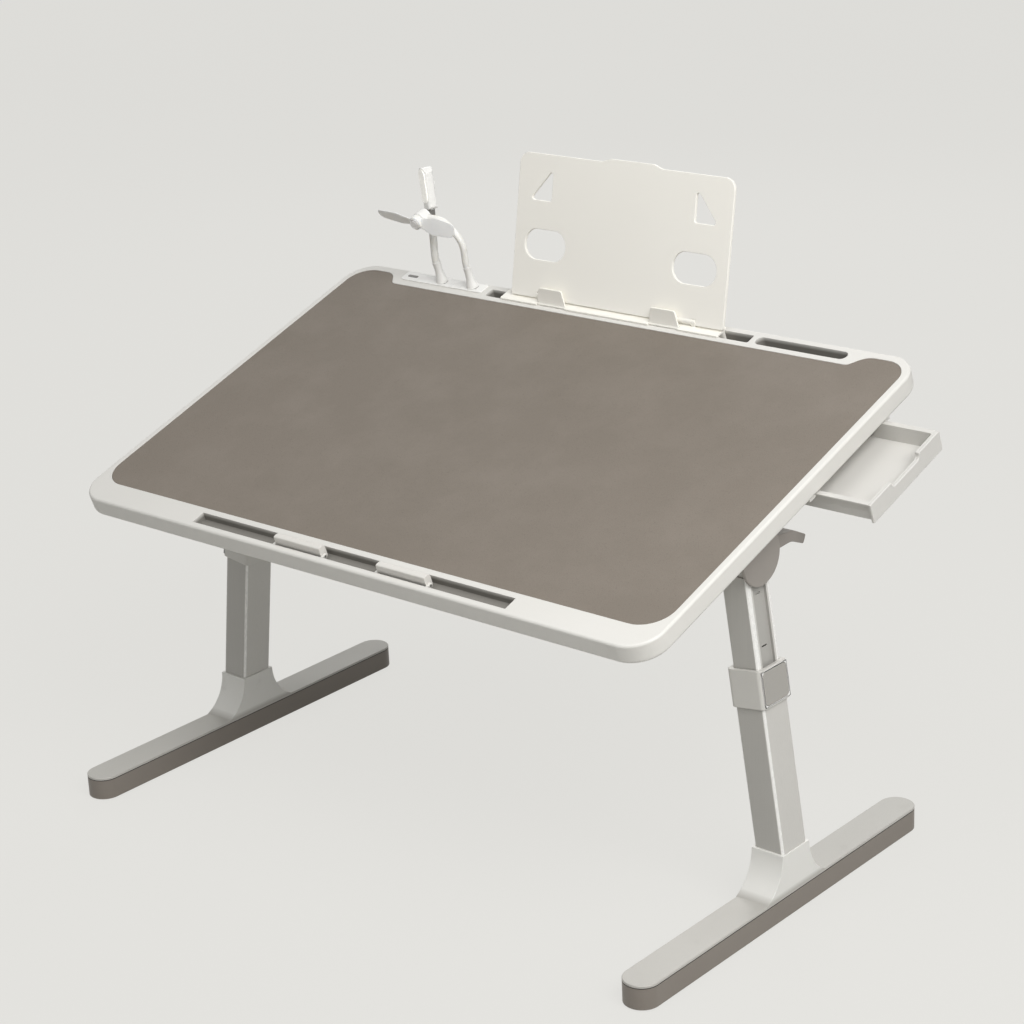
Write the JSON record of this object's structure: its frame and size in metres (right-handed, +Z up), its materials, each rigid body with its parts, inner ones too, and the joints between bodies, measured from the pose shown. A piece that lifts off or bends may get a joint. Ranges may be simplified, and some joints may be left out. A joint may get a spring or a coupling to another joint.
{
  "type": "folding lap desk",
  "caption": "Folding lap desk with a tilting top, telescopic legs, side drawer, laptop stops, rear trough, book stand, lamp and fan.",
  "frame": {"origin": "on the floor, midway between the feet and midway along them", "axes": "+X to the sitter's right (drawer side), +Y away from the sitter, +Z up"},
  "size_m": [0.872, 0.5216, 0.6892],
  "materials": {
    "shell": "fine satin moulding",
    "panel": "raw fibreboard",
    "pad": "soft matt synthetic leather",
    "underside": "smooth laminate",
    "screw": "zinc plated",
    "pin": "plain steel",
    "stop": "satin",
    "white_part": "satin gloss",
    "dark_window": "gloss",
    "socket": "bright",
    "neck": "matt silicone",
    "lens": "frosted diffuser",
    "blade": "soft flexible",
    "book_board": "satin",
    "drawer": "satin",
    "hinge": "satin enamel",
    "lever": "satin",
    "tube": "satin anodised",
    "collar": "satin silver",
    "foot_top": "satin silver",
    "foot_base": "matt",
    "rubber": "matt"
  },
  "bodies": {
    "tabletop": {"top_frame": "shell", "core_board": "panel", "desk_pad": "pad", "bottom_cover": "underside", "cover_screws": "screw", "stop_pins": "pin", "hub_housing": "white_part", "hub_window": "dark_window", "hub_sockets": "socket", "lamp_plug": "white_part", "lamp_neck": "neck", "lamp_head": "white_part", "lamp_lens": "lens", "fan_plug": "white_part", "fan_neck": "neck", "fan_motor": "white_part", "stand_base": "book_board", "stand_pins": "pin", "drawer_runner_front": "shell", "drawer_runner_rear": "shell", "runner_screws": "screw", "hinge_plate_screws": "screw", "right_hinge_plate": "hinge", "left_hinge_plate": "hinge", "right_fold_pin": "pin", "left_fold_pin": "pin"},
    "drawer": {"drawer_tray": "drawer", "drawer_front": "drawer"},
    "stop_left": {"laptop_stop_left": "stop"},
    "stop_right": {"laptop_stop_right": "stop"},
    "book_board": {"stand_board": "book_board"},
    "page_clip_left": {"page_clip_left": "book_board"},
    "page_clip_right": {"page_clip_right": "book_board"},
    "fan_rotor": {"fan_rotor": "blade"},
    "right_yoke": {"right_yoke": "hinge", "right_yoke_pins": "pin"},
    "right_lever": {"right_tilt_lever": "lever"},
    "right_upper_leg": {"right_leg_head": "collar", "right_inner_tube": "tube", "right_slide_bush": "foot_base"},
    "right_lower_leg": {"right_outer_tube": "tube", "right_collar": "collar", "right_foot_cap": "foot_top", "right_foot_skirt": "foot_base", "right_foot_pads": "rubber"},
    "right_button": {"right_collar_button": "collar"},
    "left_yoke": {"left_yoke": "hinge", "left_yoke_pins": "pin"},
    "left_lever": {"left_tilt_lever": "lever"},
    "left_upper_leg": {"left_leg_head": "collar", "left_inner_tube": "tube", "left_slide_bush": "foot_base"},
    "left_lower_leg": {"left_outer_tube": "tube", "left_collar": "collar", "left_foot_cap": "foot_top", "left_foot_skirt": "foot_base", "left_foot_pads": "rubber"},
    "left_button": {"left_collar_button": "collar"}
  },
  "joints": [
    {"name": "drawer_slide", "type": "slide", "parent": "tabletop", "child": "drawer", "axis": [1, 0, 0], "range_m": [-0.06, 0.12]},
    {"name": "stop_left_fold", "type": "hinge", "parent": "tabletop", "child": "stop_left", "pos_m": [-0.058, -0.2047, 0.36588], "axis": [-1, 0, 0], "range_deg": [0, 90]},
    {"name": "stop_right_fold", "type": "hinge", "parent": "tabletop", "child": "stop_right", "pos_m": [0.088, -0.2047, 0.36588], "axis": [-1, 0, 0], "range_deg": [0, 90]},
    {"name": "book_board_lean", "type": "hinge", "parent": "tabletop", "child": "book_board", "pos_m": [0.006, 0.24602, 0.52634], "axis": [1, 0, 0], "range_deg": [-15, 10]},
    {"name": "page_clip_left_turn", "type": "hinge", "parent": "tabletop", "child": "page_clip_left", "pos_m": [-0.0815, 0.24025, 0.51808], "axis": [1, 0, 0], "range_deg": [0, 82], "stiffness_Nm_per_rad": 0.01, "springref_deg": -17.19},
    {"name": "page_clip_right_turn", "type": "hinge", "parent": "tabletop", "child": "page_clip_right", "pos_m": [0.0795, 0.24025, 0.51808], "axis": [1, 0, 0], "range_deg": [0, 82], "stiffness_Nm_per_rad": 0.01, "springref_deg": -17.19},
    {"name": "fan_spin", "type": "hinge", "parent": "tabletop", "child": "fan_rotor", "pos_m": [-0.259, 0.21136, 0.60048], "axis": [0, -0.9483, -0.3173], "continuous": true},
    {"name": "right_leg_fold", "type": "hinge", "parent": "tabletop", "child": "right_yoke", "pos_m": [0.32589, 0.00369, 0.39338], "axis": [0, 0.9483, 0.3173], "range_deg": [0, 97]},
    {"name": "right_lever_squeeze", "type": "hinge", "parent": "right_yoke", "child": "right_lever", "pos_m": [0.36302, 0.02963, 0.38993], "axis": [1, 0, 0], "range_deg": [0, 12], "stiffness_Nm_per_rad": 0.3, "springref_deg": -11.46},
    {"name": "right_top_tilt", "type": "hinge", "parent": "right_yoke", "child": "right_upper_leg", "pos_m": [0.35255, 0.0075, 0.382], "axis": [1, 0, 0], "range_deg": [-17.5, 18.5]},
    {"name": "right_leg_slide", "type": "slide", "parent": "right_upper_leg", "child": "right_lower_leg", "axis": [-0.1392, 0, 0.9903], "range_m": [0, 0.08]},
    {"name": "right_button_press", "type": "slide", "parent": "right_lower_leg", "child": "right_button", "axis": [-0.9903, 0, -0.1392], "range_m": [0, 0.0012], "stiffness_N_per_m": 300, "springref_m": -0.001},
    {"name": "left_leg_fold", "type": "hinge", "parent": "tabletop", "child": "left_yoke", "pos_m": [-0.32589, 0.00369, 0.39338], "axis": [0, -0.9483, -0.3173], "range_deg": [0, 97]},
    {"name": "left_lever_squeeze", "type": "hinge", "parent": "left_yoke", "child": "left_lever", "pos_m": [-0.36302, 0.02963, 0.38993], "axis": [1, 0, 0], "range_deg": [0, 12], "stiffness_Nm_per_rad": 0.3, "springref_deg": -11.46},
    {"name": "left_top_tilt", "type": "hinge", "parent": "left_yoke", "child": "left_upper_leg", "pos_m": [-0.35255, 0.0075, 0.382], "axis": [1, 0, 0], "range_deg": [-17.5, 18.5]},
    {"name": "left_leg_slide", "type": "slide", "parent": "left_upper_leg", "child": "left_lower_leg", "axis": [0.1392, 0, 0.9903], "range_m": [0, 0.08]},
    {"name": "left_button_press", "type": "slide", "parent": "left_lower_leg", "child": "left_button", "axis": [0.9903, 0, -0.1392], "range_m": [0, 0.0012], "stiffness_N_per_m": 300, "springref_m": -0.001}
  ],
  "couplings": [
    {"joint": "left_top_tilt", "follows": "right_top_tilt", "ratio": 1}
  ]
}
